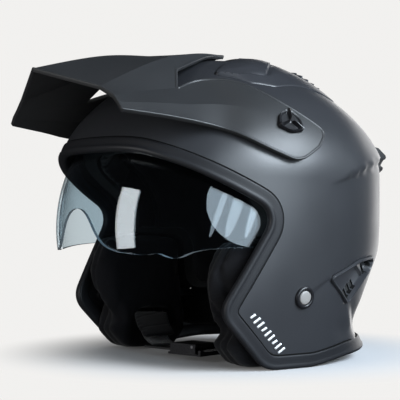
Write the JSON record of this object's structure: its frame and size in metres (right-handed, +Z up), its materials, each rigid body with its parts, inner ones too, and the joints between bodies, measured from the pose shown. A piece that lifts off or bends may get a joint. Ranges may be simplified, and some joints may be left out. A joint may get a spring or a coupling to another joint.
{
  "type": "open face motorcycle helmet",
  "caption": "Open face motorcycle helmet with a long faceted peak, a drop-down lens, padded cheeks and a chin strap with a quick-release buckle.",
  "frame": {"origin": "on the floor under the middle of the head, level with the lowest part of the rim", "axes": "+X to the wearer's left, +Y to the back of the head, +Z up; the helmet faces -Y"},
  "size_m": [0.254, 0.3153, 0.249],
  "materials": {
    "shell": "matte charcoal lacquer over moulded plastic",
    "peak": "matte charcoal moulded plastic",
    "trim": "satin rubber",
    "foam": "black bead foam",
    "lining": "brushed knit",
    "cheek_fabric": "soft suede-like knit with sewn seams",
    "webbing": "woven polyester webbing",
    "hardware_plastic": "textured black plastic",
    "vent_plastic": "satin black plastic",
    "knob": "gloss black plastic",
    "buckle_red": "dark red plastic",
    "steel": "brushed steel",
    "rivet": "satin silver",
    "brass": "turned brass",
    "lens": "light blue-grey mirrored polycarbonate"
  },
  "bodies": {
    "helmet": {"outer_shell": "shell", "edge_trim": "trim", "impact_liner": "foam", "crown_liner": "lining", "brow_pad": "lining", "cheek_pad_left": "cheek_fabric", "cheek_pad_right": "cheek_fabric", "neck_roll": "lining", "pad_studs": "hardware_plastic", "lens_plate_left": "hardware_plastic", "lens_plate_right": "hardware_plastic", "lens_pivot_screws": "steel", "peak_spacers": "trim", "screw_inserts": "brass", "top_vent_cover": "shell", "top_vent_louvre": "vent_plastic", "rear_spoiler": "shell", "side_vent_left": "vent_plastic", "side_vent_right": "vent_plastic", "chin_strap_left": "webbing", "chin_strap_right": "webbing", "strap_pad": "lining", "buckle_body": "steel", "buckle_pin": "steel", "ratchet_tongue": "hardware_plastic", "strap_rivets": "rivet", "rivet_rings": "hardware_plastic", "anchor_plates": "steel"},
    "lens": {"sun_lens": "lens"},
    "peak": {"peak": "peak"},
    "peak_screw_left": {"peak_screw_left": "knob"},
    "peak_screw_right": {"peak_screw_right": "knob"},
    "vent_slider": {"top_vent_slider": "vent_plastic"},
    "buckle_lever": {"buckle_lever": "buckle_red"}
  },
  "joints": [
    {"name": "lens_swing", "type": "hinge", "parent": "helmet", "child": "lens", "pos_m": [0, -0.012, 0.105], "axis": [-1, 0, 0], "range_deg": [0, 52]},
    {"name": "peak_tilt", "type": "hinge", "parent": "helmet", "child": "peak", "pos_m": [0, -0.0153, 0.1819], "axis": [-1, 0, 0], "range_deg": [0, 5]},
    {"name": "peak_screw_left_turn", "type": "hinge", "parent": "helmet", "child": "peak_screw_left", "pos_m": [0.1119, -0.0153, 0.1819], "axis": [0.8395, -0.0809, 0.5374], "continuous": true},
    {"name": "peak_screw_right_turn", "type": "hinge", "parent": "helmet", "child": "peak_screw_right", "pos_m": [-0.1119, -0.0153, 0.1819], "axis": [-0.8395, -0.0809, 0.5374], "continuous": true},
    {"name": "vent_slide", "type": "slide", "parent": "helmet", "child": "vent_slider", "axis": [0, 0.9669, -0.255], "range_m": [0, 0.008]},
    {"name": "buckle_release", "type": "hinge", "parent": "helmet", "child": "buckle_lever", "pos_m": [0.02785, -0.03247, 0.0119], "axis": [-0.1908, 0.9816, 0], "range_deg": [0, 35], "stiffness_Nm_per_rad": 0.03, "springref_deg": -17.19}
  ]
}
